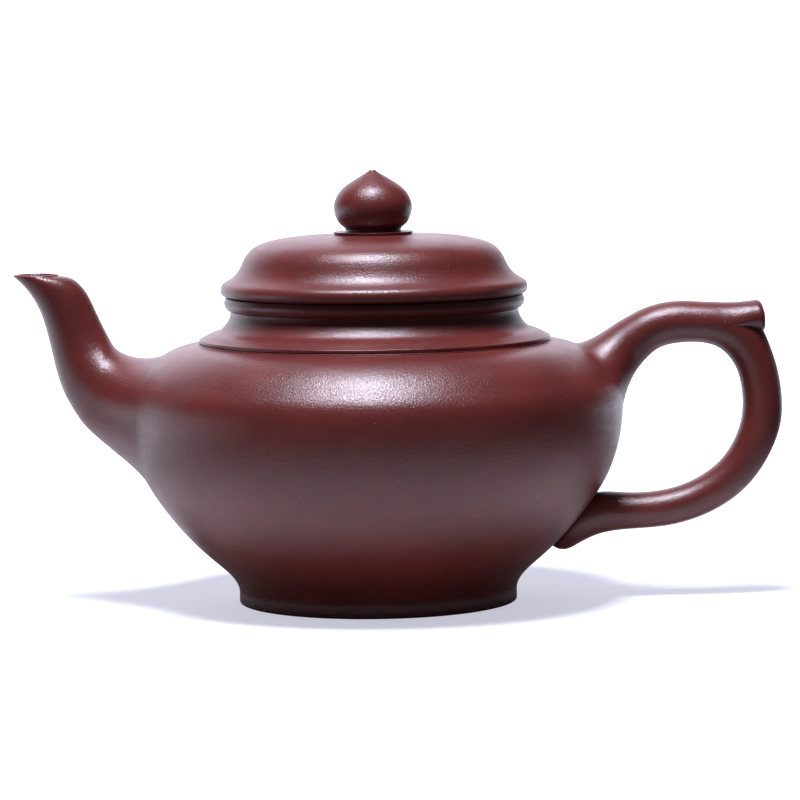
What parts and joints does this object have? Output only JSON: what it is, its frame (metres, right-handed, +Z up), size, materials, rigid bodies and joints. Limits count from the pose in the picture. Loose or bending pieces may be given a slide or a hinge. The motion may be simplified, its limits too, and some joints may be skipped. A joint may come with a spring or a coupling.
{
  "type": "teapot",
  "caption": "Squat round unglazed clay teapot with an S-curved spout, an ear-shaped handle with a thumb spur, and a loose flanged lid with a pointed bead knob.",
  "frame": {"origin": "on the pot's axis, in the plane that its foot stands on", "axes": "+Z up along the pot's axis, the spout points to -X and the handle to +X"},
  "size_m": [0.1571, 0.1012, 0.0884],
  "materials": {
    "pot_clay": "burnished unglazed purple-brown clay",
    "lid_clay": "burnished unglazed purple-brown clay",
    "inner_clay": "matt unglazed purple-brown clay"
  },
  "bodies": {
    "pot": {"foot_ring": "pot_clay", "base_disc": "inner_clay", "belly_wall": "pot_clay", "shoulder_plate": "pot_clay", "neck_ring": "pot_clay", "mouth_lip": "pot_clay", "spout": "pot_clay", "spout_strainer": "inner_clay", "handle_loop": "pot_clay", "handle_spur": "pot_clay"},
    "lid_guide": {"lid_flange": "lid_clay"},
    "lid": {"lid_rim": "lid_clay", "lid_dome": "lid_clay", "knob_collar": "lid_clay", "lid_knob": "lid_clay"}
  },
  "joints": [
    {"name": "lid_lift", "type": "slide", "parent": "pot", "child": "lid_guide", "axis": [0, 0, 1], "range_m": [0, 0.06]},
    {"name": "lid_turn", "type": "hinge", "parent": "lid_guide", "child": "lid", "pos_m": [0, 0, 0.06285], "axis": [0, 0, 1], "continuous": true}
  ]
}
